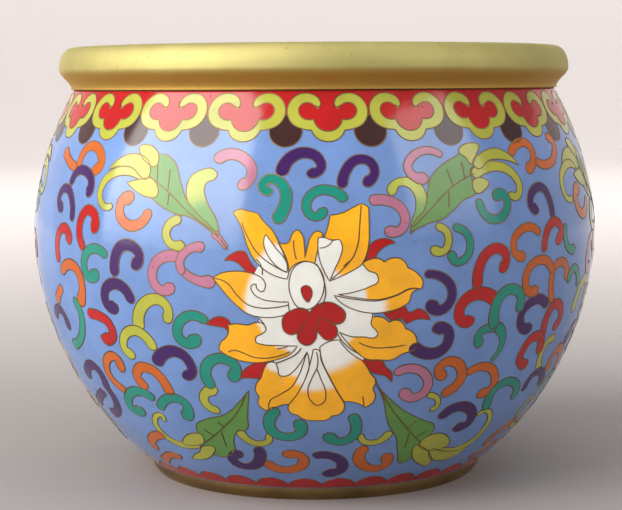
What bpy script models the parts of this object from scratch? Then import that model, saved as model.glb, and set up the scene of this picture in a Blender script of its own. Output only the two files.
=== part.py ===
"""A round cloisonne incense burner.

A hollow enamelled copper bowl stands on a turned brass foot ring and carries a heavy turned brass rim ring.
Units are metres and +Z is up. The origin is at the centre of the foot, on the table.
"""

import math

import bpy

# Bowl: the belly is widest at BELLY_RISE above the bowl's underside
BELLY_RADIUS = 0.0750
BELLY_RISE = 0.0616
BOWL_HEIGHT = 0.0985
NECK_RADIUS = 0.0640
BASE_RADIUS = 0.0457

# Fullness of the belly's curve: 2 is an ellipse, less is slacker
UPPER_FULLNESS = 1.75
LOWER_FULLNESS = 1.95

# Walls of copper and enamel together
WALL = 0.0030
FLOOR_THICKNESS = 0.0036
FLOOR_FILLET = 0.0060
BASE_DISH = 0.0008

# Foot ring
FOOT_HEIGHT = 0.0031
FOOT_WIDTH = 0.0054
FOOT_INSET = 0.0008
FOOT_TAPER = 0.0016
FOOT_BEAD = 0.0004

# Rim ring
RIM_HEIGHT = 0.0106
RIM_OVERHANG = 0.0036
RIM_STEP = 0.0005
RIM_COVE_HEIGHT = 0.0056
RIM_BAND_HEIGHT = 0.0010
RIM_SHOULDER_WIDTH = 0.0026
RIM_TOP_WIDTH = 0.0030

# Space left between pieces that are soldered together
JOINT_GAP = 0.0003

# Facets: around the piece, and along each stretch of a profile
FACETS_AROUND = 72
BELLY_STEPS = 10
INSIDE_STEPS = 7
FILLET_STEPS = 3
DISH_STEPS = 2
COVE_STEPS = 4
SHOULDER_STEPS = 4
BEAD_STEPS = 3
SEAM_MERGE = 0.00001

# Colour, roughness and metallic value of each finish
BLUE_ENAMEL = ((0.196, 0.314, 0.742, 1.0), 0.14, 0.0)
SATIN_BRASS = ((0.600, 0.450, 0.160, 1.0), 0.30, 1.0)

COLLECTION_NAME = "incense_burner"


def clear_scene():
    """Removes every object that is in the file."""
    for existing in list(bpy.data.objects):
        bpy.data.objects.remove(existing, do_unlink=True)


def finish(name, look):
    """A plain material of one colour, roughness and metallic value."""
    colour, roughness, metallic = look
    material = bpy.data.materials.new(name)
    material.use_nodes = True
    shader = material.node_tree.nodes["Principled BSDF"]
    shader.inputs["Base Color"].default_value = colour
    shader.inputs["Roughness"].default_value = roughness
    shader.inputs["Metallic"].default_value = metallic
    material.diffuse_color = colour
    return material


def turned_piece(name, profile, closed, material, collection):
    """A piece turned on a lathe: the profile of (radius, height) points is swept once around the Z axis.

    The profile runs down the piece's outer side. A closed profile is a ring's whole section, and an open one
    starts and ends on the axis.
    """
    mesh = bpy.data.meshes.new(name)
    points = [(radius, 0.0, height) for radius, height in profile]
    edges = [(i, i + 1) for i in range(len(points) - 1)]
    if closed:
        edges.append((len(points) - 1, 0))
    mesh.from_pydata(points, edges, [])
    piece = bpy.data.objects.new(name, mesh)
    collection.objects.link(piece)
    mesh.materials.append(material)
    screw = piece.modifiers.new("Turn", "SCREW")
    screw.axis = "Z"
    screw.angle = math.tau
    screw.steps = FACETS_AROUND
    screw.render_steps = FACETS_AROUND
    screw.use_merge_vertices = True
    screw.merge_threshold = SEAM_MERGE
    screw.use_smooth_shade = True
    return piece


def bulge_depth(radius, end_radius, reach, fullness):
    """How far from its widest level a belly curve would close, so that it has end_radius at reach."""
    return reach / (1 - (end_radius / radius) ** fullness) ** (1 / fullness)


def bulge_radius(radius, depth, fullness, reach):
    """Radius of a belly curve at a height of reach away from its widest level."""
    return radius * (1 - (reach / depth) ** fullness) ** (1 / fullness)


def bulge(radius, depth, fullness, reach, steps):
    """(radius, distance from the widest level) along a belly curve, from the widest level out to reach.

    The curve is (r / radius) ** fullness + (h / depth) ** fullness = 1, walked by even angles.
    """
    last = math.asin((reach / depth) ** (fullness / 2))
    points = []
    for i in range(steps + 1):
        angle = last * i / steps
        points.append((radius * math.cos(angle) ** (2 / fullness), depth * math.sin(angle) ** (2 / fullness)))
    return points


def bowl_measures():
    """Heights above the table, and depths of the outer and inner belly curves, that the pieces share."""
    underside = FOOT_HEIGHT + JOINT_GAP
    upper_reach = BOWL_HEIGHT - BELLY_RISE
    upper_depth = bulge_depth(BELLY_RADIUS, NECK_RADIUS, upper_reach, UPPER_FULLNESS)
    lower_depth = bulge_depth(BELLY_RADIUS, BASE_RADIUS, BELLY_RISE, LOWER_FULLNESS)
    inner_radius = BELLY_RADIUS - WALL
    return {
        "underside": underside,
        "belly": underside + BELLY_RISE,
        "neck": underside + BOWL_HEIGHT,
        "upper_depth": upper_depth,
        "lower_depth": lower_depth,
        "inner_radius": inner_radius,
        "inner_upper_depth": upper_depth - WALL,
        "inner_lower_depth": lower_depth - WALL,
        "bore": bulge_radius(inner_radius, upper_depth - WALL, UPPER_FULLNESS, upper_reach),
    }


def bowl_inside(measures):
    """Inside of the bowl, from the middle of the floor, round the fillet and up to the mouth."""
    belly = measures["belly"]
    floor = measures["underside"] + FLOOR_THICKNESS

    def wall_at(height):
        reach = belly - height
        return bulge_radius(measures["inner_radius"], measures["inner_lower_depth"], LOWER_FULLNESS, reach)

    corner = wall_at(floor)
    fillet_top = (wall_at(floor + FLOOR_FILLET), floor + FLOOR_FILLET)
    points = [(0.0, floor)]
    for i in range(FILLET_STEPS):
        t = i / FILLET_STEPS
        radius = (1 - t) ** 2 * (corner - FLOOR_FILLET) + 2 * t * (1 - t) * corner + t**2 * fillet_top[0]
        height = (1 - t) ** 2 * floor + 2 * t * (1 - t) * floor + t**2 * fillet_top[1]
        points.append((radius, height))
    lower = bulge(
        measures["inner_radius"],
        measures["inner_lower_depth"],
        LOWER_FULLNESS,
        belly - fillet_top[1],
        INSIDE_STEPS,
    )
    upper = bulge(
        measures["inner_radius"],
        measures["inner_upper_depth"],
        UPPER_FULLNESS,
        BOWL_HEIGHT - BELLY_RISE,
        INSIDE_STEPS,
    )
    points += [(radius, belly - distance) for radius, distance in reversed(lower)]
    points += [(radius, belly + distance) for radius, distance in upper[1:]]
    return points


def bowl_outside(measures):
    """Outside of the bowl, from the neck down over the belly to the middle of the dished underside."""
    belly = measures["belly"]
    upper = bulge(
        BELLY_RADIUS, measures["upper_depth"], UPPER_FULLNESS, BOWL_HEIGHT - BELLY_RISE, BELLY_STEPS
    )
    lower = bulge(BELLY_RADIUS, measures["lower_depth"], LOWER_FULLNESS, BELLY_RISE, BELLY_STEPS)
    points = [(radius, belly + distance) for radius, distance in reversed(upper)]
    points += [(radius, belly - distance) for radius, distance in lower[1:]]
    dish_edge = BASE_RADIUS - FOOT_INSET - FOOT_WIDTH
    for i in range(DISH_STEPS):
        share = 1 - i / DISH_STEPS
        points.append((dish_edge * share, measures["underside"] + BASE_DISH * (1 - share**2)))
    points.append((0.0, measures["underside"] + BASE_DISH))
    return points


def rim_section(measures):
    """Section of the rim ring: round inner edge, flat top, round shoulder, band, cove, underside and bore."""
    bottom = measures["neck"] + JOINT_GAP
    top = bottom + RIM_HEIGHT
    bore = measures["bore"]
    lip = NECK_RADIUS + RIM_OVERHANG
    root = NECK_RADIUS + RIM_STEP
    band_low = bottom + RIM_COVE_HEIGHT
    band_high = band_low + RIM_BAND_HEIGHT
    shoulder_height = top - band_high
    flat_outer = lip - RIM_SHOULDER_WIDTH
    flat_inner = flat_outer - RIM_TOP_WIDTH
    quarter = [math.pi / 2 * i / SHOULDER_STEPS for i in range(SHOULDER_STEPS + 1)]
    points = []
    for angle in quarter:
        radius = flat_inner - (flat_inner - bore) * math.cos(angle)
        points.append((radius, band_high + shoulder_height * math.sin(angle)))
    for angle in quarter:
        radius = flat_outer + RIM_SHOULDER_WIDTH * math.sin(angle)
        points.append((radius, band_high + shoulder_height * math.cos(angle)))
    for i in range(COVE_STEPS + 1):
        share = i / COVE_STEPS
        ease = (1 + math.cos(math.pi * share)) / 2
        points.append((root + (lip - root) * ease, band_low - RIM_COVE_HEIGHT * share))
    points.append((bore, bottom))
    return points


def foot_section():
    """Section of the foot ring: flat top, slightly rounded outer side, flat underside and straight inside."""
    outer_top = BASE_RADIUS - FOOT_INSET
    inner = outer_top - FOOT_WIDTH
    points = [(inner, FOOT_HEIGHT)]
    for i in range(BEAD_STEPS + 1):
        share = i / BEAD_STEPS
        swell = FOOT_BEAD * math.sin(math.pi * share)
        points.append((outer_top - FOOT_TAPER * share + swell, FOOT_HEIGHT * (1 - share)))
    points.append((inner, 0.0))
    return points


def build():
    """Makes the three pieces."""
    clear_scene()
    collection = bpy.data.collections.new(COLLECTION_NAME)
    bpy.context.scene.collection.children.link(collection)
    measures = bowl_measures()
    bowl_profile = bowl_inside(measures) + bowl_outside(measures)
    turned_piece("enamelled_bowl", bowl_profile, False, finish("enamel", BLUE_ENAMEL), collection)
    turned_piece("rim_ring", rim_section(measures), True, finish("rim_brass", SATIN_BRASS), collection)
    turned_piece("foot_ring", foot_section(), True, finish("foot_brass", SATIN_BRASS), collection)


build()
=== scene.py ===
"""The looks of a round cloisonne incense burner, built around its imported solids.

The skin of the belly is measured in millimetres: x runs round it to the right from the middle of the front,
and v runs up it from its widest level. Drawings on it are complex numbers, x + v j. Angles are turned from
the front (-Y) towards the right (+X).
"""

import math

import bpy
import numpy as np
from mathutils import Matrix, Vector
from mathutils.geometry import delaunay_2d_cdt


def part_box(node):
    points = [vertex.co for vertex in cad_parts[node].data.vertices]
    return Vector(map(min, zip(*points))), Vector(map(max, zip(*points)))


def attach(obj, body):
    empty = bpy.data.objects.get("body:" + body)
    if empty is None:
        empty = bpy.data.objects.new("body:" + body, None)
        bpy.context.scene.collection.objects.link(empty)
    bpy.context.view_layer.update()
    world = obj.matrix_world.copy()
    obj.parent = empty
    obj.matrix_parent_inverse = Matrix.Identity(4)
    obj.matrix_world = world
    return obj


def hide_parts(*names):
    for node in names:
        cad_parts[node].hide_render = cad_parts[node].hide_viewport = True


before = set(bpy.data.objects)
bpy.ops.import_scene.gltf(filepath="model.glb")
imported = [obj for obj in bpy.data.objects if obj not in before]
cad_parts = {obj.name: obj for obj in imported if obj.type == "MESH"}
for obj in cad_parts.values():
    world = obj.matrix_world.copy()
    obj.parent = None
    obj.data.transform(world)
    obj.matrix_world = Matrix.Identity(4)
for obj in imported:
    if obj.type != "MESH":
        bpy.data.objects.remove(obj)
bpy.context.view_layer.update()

MM = 0.001

# Bowl, as its solid is turned, with its edges tucked in a little under the rings
BELLY_RADIUS = 75.0
BELLY_LEVEL = 65.0
NECK_RADIUS = 64.0
NECK_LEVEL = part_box("enamelled_bowl")[1].z / MM
BASE_RADIUS = 45.7
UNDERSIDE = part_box("enamelled_bowl")[0].z / MM
UPPER_FULLNESS = 1.75
LOWER_FULLNESS = 1.95
WALL = 3.0
FLOOR_THICKNESS = 3.6
FLOOR_FILLET = 6.0
BASE_DISH = 0.8
EDGE_TUCK = 0.1

# Rim ring and foot ring, which close the joint that is left open between the solids
RIM_BOTTOM = NECK_LEVEL
RIM_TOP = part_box("rim_ring")[1].z / MM
LIP_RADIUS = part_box("rim_ring")[1].x / MM
RIM_ROOT = 64.5
RIM_BORE = 60.7
RIM_COVE = 5.2
RIM_BAND = 0.3
RIM_SHOULDER = 3.6
RIM_FLAT = 2.0
RIM_BEAD = 0.08
FOOT_TOP = UNDERSIDE
FOOT_OUTER = 44.9
FOOT_INNER = 39.5
FOOT_TAPER = 1.6
FOOT_SWELL = 0.4

# Lifts of the enamel's ground, cells and wires from the solid's skin; a cell's level picks its lift
GROUND_LIFT = -0.18
CELL_LIFTS = (-0.15, -0.12, -0.09, -0.06, -0.03)
CELL_SINK = -0.32
WIRE_RISE = 0.018
WIRE_SINK = -0.30
SCROLL_LEVELS = 3

# Wires, and the ribbons of the scrolls: tip carry and bulb blend are shares of a bulb's width, and the gains
# multiply the widths that the tables give
WIRE_WIDTH = 0.36
WIRE_TOP_SHARE = 0.7
TIP_WIDTH = 0.05
TIP_CARRY = 0.35
BULB_BLEND = 0.45
BULB_GAIN = 1.28
STROKE_GAIN = 1.03

# Fineness of the meshes
STEPS_AROUND = 320
STEPS_UP = 120
SKIN_ROWS = 3001
INSIDE_STEPS = 90
CORNER_STEPS = 12
ROUND_STEPS = 14
COVE_STEPS = 24
CURL_STEPS = 26
CARRY_STEPS = 4
ACROSS_STEPS = 3
SPAN_STEPS = 6
BAND_ROWS = 4
SCALLOP_STEPS = 12
FILL_GAP = 1.5
FILL_CLEARANCE = 0.55
FILL_SNAP = 1e-5
SHARP_ANGLE = 40.0

# Panels round the bowl: angle of its middle, how narrow it is squeezed, how far its pattern reaches
PANELS = (
    ("front", 0.0, 1.0, 90.0),
    ("right", 96.0, 0.87, 50.0),
    ("back", 176.0, 0.87, 50.0),
    ("left", -108.0, 0.87, 50.0),
)

# Scrolls that fill the joints between the side panels: panel that they go with, place in SCROLLS, and turn
JOINT_SCROLLS = (
    ("right", 16, 87.5),
    ("right", 18, 87.0),
    ("right", 22, 84.6),
    ("back", 16, 165.0),
    ("back", 18, 162.4),
    ("back", 22, 160.8),
)

# Lappets under the rim and scallops over the foot, with angles in degrees
HEADS = 22
HEAD_SHIFT = 2.6
STRIP_FOOT = 32.5
NECK_WIRE = 0.16
DISC_LEVEL = 28.3
DISC_RADIUS = 3.8
DISC_START = 130.0
DISC_END = 410.0
DISC_POINTS = 9
DISC_TIP = 0+32.4j
SCALLOPS = 36
SCALLOP_SHIFT = -3.4
SCALLOP_TOP = -65.4
SCALLOP_VALLEY = -68.6
SCALLOP_FULLNESS = 0.7
SCALLOP_WIRE = 0.2

# Colours of the enamels: colour, second colour that a cell turns to, and slot
BLUE = (0.132, 0.226, 0.465)
COLOURS = {
    "red": ((0.380, 0.006, 0.006), None, "enamel_red"),
    "orange": ((0.460, 0.093, 0.009), None, "enamel_orange"),
    "lime": ((0.355, 0.357, 0.042), None, "enamel_lime"),
    "green": ((0.095, 0.235, 0.045), None, "enamel_green"),
    "leaf": ((0.120, 0.270, 0.060), (0.390, 0.430, 0.070), "enamel_green"),
    "teal": ((0.008, 0.215, 0.155), None, "enamel_teal"),
    "purple": ((0.040, 0.008, 0.090), None, "enamel_purple"),
    "pink": ((0.390, 0.142, 0.220), None, "enamel_pink"),
    "white": ((0.720, 0.720, 0.670), None, "enamel_white"),
    "petal": ((0.720, 0.720, 0.670), (0.850, 0.390, 0.012), "enamel_yellow"),
    "brown": ((0.038, 0.012, 0.011), None, "enamel_brown"),
}

# Brass: colours, roughnesses, how unevenly it is worn, and the levels of the tarnish and painted shade in
# the rim's cove
RIM_BRASS = (0.490, 0.427, 0.168)
# The cove's warm brown is partly tarnish, partly painted shade and painted reflection of a dark table
TARNISH_AND_SHADE_COLOUR = (0.50, 0.31, 0.075, 1.0)
# The foot's brass is the rim's brass darkened and warmed: painted shade and painted reflection of a dark
# table
FOOT_BRASS_PAINTED_SHADE = (0.30, 0.195, 0.075)
WIRE_BRASS = (0.20, 0.13, 0.065)
RIM_ROUGHNESS = 0.66
FOOT_ROUGHNESS = 0.42
WIRE_ROUGHNESS = 0.50
RIM_WEAR = 0.08
FOOT_WEAR = 0.25
WIRE_WEAR = 0.2
COVE_TARNISH_AND_SHADE_LEVELS = (RIM_BOTTOM + 0.66 * RIM_COVE, RIM_BOTTOM + RIM_COVE + 0.1)

# Patterns of the finishes, in waves to the metre
CLOUDS = 140.0
DRIFT = 38.0
PINHOLES = 430.0
PINHOLE_PATCHES = 90.0
RIPPLES = 60.0
LATHE_RINGS = 2600.0
BLOTCHES = 70.0
SPECKS = 520.0

# Heart of the lotus, from which its petals turn from white to yellow
HEART_MIDDLE = -1.5-12j

# Where the small side leaves start to turn from green to lime, and over what run
LEAF_TURN = 9.0
LEAF_BLEND = 6.0

# Scrolls: enamel, width at the start and at the tip, middle line
SCROLLS = (
    ("purple", 3.2, 1.8, (-7.7+17.6j, -6.3+21.2j, -2.6+23.2j, 0.8+21.8j, 1.4+19.4j, -1+18.4j)),
    ("purple", 2.4, 2.0, (6.3+14.8j, 6.9+18.6j, 9.6+21.4j, 12.8+20.8j, 13.7+18j, 11.8+16.1j)),
    ("teal", 3.0, 1.8, (
        -9.4+7.2j, -6.9+10.8j, -6.8+14.4j, -8.8+16.8j, -11.4+16.7j, -12+14.9j, -10.6+14.3j,
    )),
    ("teal", 2.4, 1.8, (7+11.8j, 3.8+14.2j, 0.4+14.2j, -1.9+11.8j, -1.6+9.2j, 0.4+8.3j, 1.8+9.6j)),
    ("pink", 2.8, 2.0, (-23.2+20.9j, -20.2+22.8j, -16.6+22j, -14.5+19.2j, -15.2+16.6j, -17+15.6j)),
    ("pink", 1.6, 2.2, (30.3+21.9j, 26.4+23.4j, 23+22.1j, 21.6+19.4j, 23+17.3j, 25.6+16.8j)),
    ("pink", 2.4, 2.0, (12.4+11.7j, 16+11.9j, 19.6+10.2j, 20.9+7.2j, 19.6+4.8j, 16.9+4.9j)),
    ("lime", 1.8, 1.8, (28.4+5.4j, 31+4.4j, 31.7+1.8j, 30.2-0.4j, 28+0.2j)),
    ("lime", 2.2, 1.8, (-31.9+7.2j, -34.9+6.2j, -36+3.7j, -34.5+1.5j, -31.9+1.4j)),
    ("pink", 1.2, 1.4, (-20.6+0.9j, -22+2.8j, -23.5+4.2j)),
    ("teal", 2.0, 2.2, (40.2+11.4j, 41.1+8.6j, 43.8+6.5j, 47.2+6.9j, 49+9.6j, 47.9+12.2j, 45.4+11.8j)),
    ("teal", 1.8, 1.8, (32.9+5j, 36.4+3.7j, 37.6+0.8j, 36.4-2.2j, 33.6-2.9j, 32.6-1.2j)),
    ("orange", 2.2, 2.2, (50.9+21.5j, 53.2+24j, 56.8+24.5j, 59.4+22.3j, 59.3+19.4j, 57.2+18j)),
    ("orange", 2.2, 2.0, (60.4+20j, 65+18.6j, 69.4+20.4j, 70.4+23.6j, 67.6+25.4j)),
    ("purple", 2.2, 2.2, (66+5.5j, 65.2+9.6j, 62+13.2j, 58.2+12.4j, 57+9.6j, 59.2+8j)),
    ("orange", 2.0, 2.0, (60.4+2j, 57+3.9j, 53.4+3.4j, 50.9+1.2j, 51.4-2j, 54.2-2.9j)),
    ("red", 2.2, 2.2, (62.5-2.5j, 62.7+1j, 65+4j, 68.6+4.3j, 70.3+1.9j, 68.4+0j)),
    ("orange", 2.2, 2.2, (66.2-8j, 64.2-5.2j, 60.6-4.3j, 56.6-5.8j, 55.2-8.8j, 56.6-11.8j, 59.4-11.6j)),
    ("orange", 2.2, 2.2, (67.5-15.5j, 66-10.4j, 67.4-6.6j, 70.6-5.6j, 73.6-7.4j, 73.8-9.6j)),
    ("teal", 1.8, 2.0, (72.6+3.6j, 72.4+0.2j, 74.4-2.6j, 77.6-3j)),
    ("teal", 2.0, 2.0, (82-13j, 81.2-9.2j, 78-8j, 75.6-10.6j)),
    ("purple", 2.6, 2.4, (65-16.5j, 61.6-14.2j, 57.6-14.8j, 54.4-17.6j, 55-20.8j, 58-21.4j)),
    ("red", 3.0, 2.2, (64.6-29.5j, 64.4-24j, 65.6-19j, 69-16.2j, 72.4-17.6j, 72.8-21j, 70.6-22.4j)),
    ("red", 2.8, 2.2, (64.6-25j, 60.4-24.2j, 56.8-27j, 55.8-30.2j, 58.6-31.8j)),
    ("lime", 2.0, 2.2, (72-26.2j, 68-26.6j, 65.6-29.6j, 66-34.4j)),
    ("purple", 2.2, 2.4, (60.6-40.6j, 62.2-37j, 66-35.2j, 69.6-36.8j, 70.4-39.6j)),
    ("teal", 2.6, 2.2, (46-44j, 46.4-39.6j, 49.4-36.6j, 53.6-36.2j, 56.8-38.6j, 56.2-41.4j)),
    ("orange", 3.0, 2.2, (31-36.8j, 34.6-35.2j, 36.6-32j, 35-28.4j, 31.8-27.8j, 29.8-30j, 31.2-31.6j)),
    ("orange", 2.2, 2.4, (38-31.8j, 41.6-30.2j, 45.6-31.2j, 47.3-34.4j, 46.2-37.4j, 43-38.2j)),
    ("teal", 3.0, 2.2, (45.6-20j, 45.2-15.4j, 47.4-11.6j, 50.8-10.6j, 53.8-12.6j, 53.4-15.6j)),
    ("teal", 3.0, 1.0, (45.8-19.6j, 48.4-22.2j, 48-25.6j, 45.6-28.4j)),
    ("teal", 2.2, 2.0, (46-20.4j, 42.8-20j, 40.6-21.6j, 41.2-23.8j)),
    ("red", 2.8, 2.2, (40-9.6j, 40-5.2j, 42.4-1.4j, 45.8-0.4j, 48.4-2.4j, 47.2-5.2j)),
    ("red", 3.4, 2.4, (45.6-13.4j, 41.4-11j, 37.4-11.6j, 34.9-14.4j, 35.4-17.2j, 38-17.4j)),
    ("purple", 1.8, 2.6, (25.6-5.6j, 29.8-6.2j, 32.6-9j, 32.2-12.6j, 29.2-14.3j, 27.4-12.8j)),
    ("purple", 3.0, 2.4, (22.6-22.6j, 25.6-24.8j, 29.4-25j, 32-22.6j, 31.8-19.4j, 29-18.9j)),
    ("pink", 2.3, 2.4, (18.6-30.2j, 21.8-28.8j, 25.4-29.8j, 27.3-32.8j, 26-36.2j, 22.8-37.2j, 21.2-35.4j)),
    ("lime", 1.3, 1.4, (28.2-41.4j, 30-40.4j, 30-38.2j, 27.8-37j)),
    ("purple", 3.0, 2.4, (31.2-44.8j, 34.4-42j, 38.2-41.7j, 41-44.2j, 40.4-47.6j, 36.8-48.6j)),
    ("orange", 3.0, 2.4, (12.2-52.4j, 10.4-56j, 11.6-60.2j, 14.8-61.8j, 17.6-59.8j, 17.2-56.8j)),
    ("purple", 2.6, 2.8, (-0.8-55.6j, 3.2-55.4j, 6.2-58.2j, 5.8-61.6j, 2.8-62.8j)),
    ("teal", 2.6, 2.4, (8.2-41.4j, 9.6-45j, 8.2-49.2j, 5-50.2j, 3-48.2j)),
    ("orange", 3.0, 2.4, (-12.2-57.8j, -10.2-60.8j, -6.4-61.4j, -3.2-58.8j, -3.8-55.4j, -7-55.2j)),
    ("purple", 2.8, 2.4, (-14.4-52.6j, -13.8-57j, -16-60.6j, -19.6-60.2j, -21-57.4j, -19.2-55.6j)),
    ("teal", 2.8, 2.4, (-9-39.5j, -11.2-43j, -10.2-47.2j, -6.8-48.6j, -3.6-46.8j, -4.2-44j)),
    ("lime", 2.2, 2.4, (-23.4-40.8j, -26.6-39.6j, -27.4-36.6j, -24.8-34.8j)),
    ("teal", 2.8, 2.4, (-24.6-33.9j, -26.6-31j, -25.6-27j, -22-25.8j, -19-28j, -19.8-30.8j)),
    ("purple", 3.4, 2.0, (-40.2-29j, -37.6-25.4j, -34-24.8j, -31-27j, -30.4-30.4j, -32-31.2j)),
    ("lime", 3.6, 2.0, (-44.4-20.2j, -44.6-16j, -42-12.6j, -38.6-11.8j, -36-13.8j, -36.4-16.6j)),
    ("lime", 2.8, 2.2, (-40.6-25j, -42.6-21.8j, -46.4-20.2j, -49.8-22j, -50.2-25.4j, -47.8-26.8j)),
    ("purple", 3.0, 2.4, (-51.4-7j, -51.6-3.2j, -49.2+0.4j, -45.8+0.5j, -43.6-1.8j, -45.2-3.8j)),
    ("purple", 2.8, 2.6, (-46.6-13.4j, -48.8-9.8j, -52.6-8.9j, -55.6-11j, -55-14.4j, -52.4-14.8j)),
    ("pink", 2.6, 2.2, (-32.5-1.6j, -36.2-1.4j, -39.4-3.6j, -39.8-7.4j, -37.4-9.6j, -35-8.6j)),
    ("pink", 2.0, 1.8, (-31.4-5.2j, -32.4-2.6j, -30.4+0.2j, -26.8+1.1j)),
    ("pink", 1.8, 2.4, (-31.8-4.4j, -28.8-6.4j, -24.6-6.9j)),
    ("teal", 2.2, 2.6, (-25.8-16.8j, -29.8-15.2j, -33-17.2j, -33.4-20.8j, -30.8-22.4j, -28.8-21j)),
    ("red", 2.6, 2.6, (-63.2-17.6j, -58.6-17.6j, -54.8-19.4j, -54-22.4j, -57.2-23.4j)),
    ("teal", 2.2, 2.6, (-54.4-2.6j, -58-0.8j, -61.8-1.8j, -63.4-5j, -61.4-8j, -58.8-6.9j)),
    ("red", 2.4, 2.6, (-63-1.2j, -65+2j, -64.4+6j, -61.4+8.4j, -58.6+6.8j, -59+4.2j)),
    ("orange", 2.4, 2.4, (-51.8-37.9j, -55.6-36.4j, -58.4-32.6j, -57.2-29j, -53.6-28.4j, -52.6-31.2j)),
    ("orange", 3.0, 2.4, (-37-37.4j, -38.6-33.4j, -42-30.4j, -45.8-30.4j, -47-33.2j, -44.8-35.2j)),
    ("orange", 2.4, 2.6, (-40.8+9.4j, -43+6.2j, -47+5.4j, -49.8+7.8j, -49.2+11j, -46.6+11.8j)),
    ("teal", 2.6, 2.6, (-42.2-39.6j, -46.6-37.6j, -50.6-38.8j, -52-42j, -50.2-44.6j, -47.6-43.8j)),
    ("teal", 2.4, 2.6, (-40.6-42.6j, -39-39.4j, -35.2-38.2j, -32.2-40.4j, -32.8-43.8j)),
    ("orange", 2.8, 2.4, (-40.9-51.8j, -44.2-52.8j, -46.6-55.4j, -46-58.2j)),
    ("orange", 2.4, 2.2, (-36.4-60.6j, -39.4-60j, -42.2-61.4j, -43.8-63.8j)),
    ("orange", 2.4, 2.4, (-67.2+18.4j, -65.6+22.2j, -61.8+24.2j, -58.2+22.8j, -57.4+19.4j, -59.6+18.4j)),
    ("orange", 2.2, 2.2, (-68.2+18.4j, -71.6+19.4j, -75.6+22.2j)),
    ("purple", 2.2, 2.4, (-70.2+14j, -68+17.2j, -64.2+17.9j, -60.8+15.6j, -61.6+12.6j)),
    ("purple", 2.2, 2.2, (-69+5.2j, -68.8+9.6j, -71.2+12.8j, -74.8+12.6j, -76.4+9.8j, -74.6+8.2j)),
    ("red", 2.4, 2.4, (-75.9-5.4j, -76.8-1.6j, -74.8+2.6j, -71.6+3.2j, -70+0.6j)),
    ("orange", 2.6, 2.6, (-74.7-8.2j, -71-5.6j, -66.8-6.4j, -64.8-10j, -66-14.6j)),
    ("orange", 2.4, 2.2, (-75.4-12j, -77.4-13.2j, -79.8-15.6j)),
    ("teal", 2.4, 2.2, (-69.8-14.4j, -67-17j, -66.6-21j, -69-25.2j, -73.6-27.4j)),
    ("purple", 2.8, 2.4, (-60.8-39.6j, -61.4-35.2j, -64.6-32.4j, -68.2-33.2j, -69.8-36.2j)),
    ("purple", 2.8, 2.4, (-61.4-38.6j, -58.2-41.8j, -58.2-45.8j, -62.2-47.8j)),
    ("purple", 2.4, 2.2, (-62.6-40.6j, -65.6-42j, -69.2-45.4j)),
    ("purple", 2.2, 2.2, (-83.8-21.2j, -81.6-18.4j, -78-18.6j, -75.2-22.4j)),
)

# Leaf ends drawn as long bent ribbons, written as the scrolls are
HOOKS = (
    ("lime", 2.6, 1.5, (-41.6+16.7j, -47+18.4j, -52+17.7j, -56+15j, -57.1+12j, -55.6+9.6j, -52.9+9.7j)),
    ("lime", 2.6, 1.8, (38.6+16.9j, 42+18.6j, 47+18.9j, 51.4+16.8j, 53.4+13.6j, 52.4+11.5j, 50.3+12j)),
    ("lime", 2.8, 1.3, (
        28.4-55.2j, 33-57.3j, 38-57.8j, 42.6-55.8j, 46.4-52j, 48.1-48j, 47.3-45.2j, 45.2-44.3j, 43.5-45.4j,
    )),
    ("lime", 2.2, 1.5, (17.9-47.4j, 16.3-50j, 13.6-51.2j, 11.2-50.2j, 10.8-48.4j)),
    ("lime", 2.4, 1.3, (
        -30-53.2j, -34-54.6j, -38.2-53.7j, -41.6-51j, -43.3-47.5j, -42.4-45j, -40.6-44.3j, -40-46j,
    )),
    ("lime", 2.4, 1.5, (-18.6-46.8j, -17-49.8j, -14-51.3j, -11.6-50.2j, -11.5-48.2j)),
)

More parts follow.
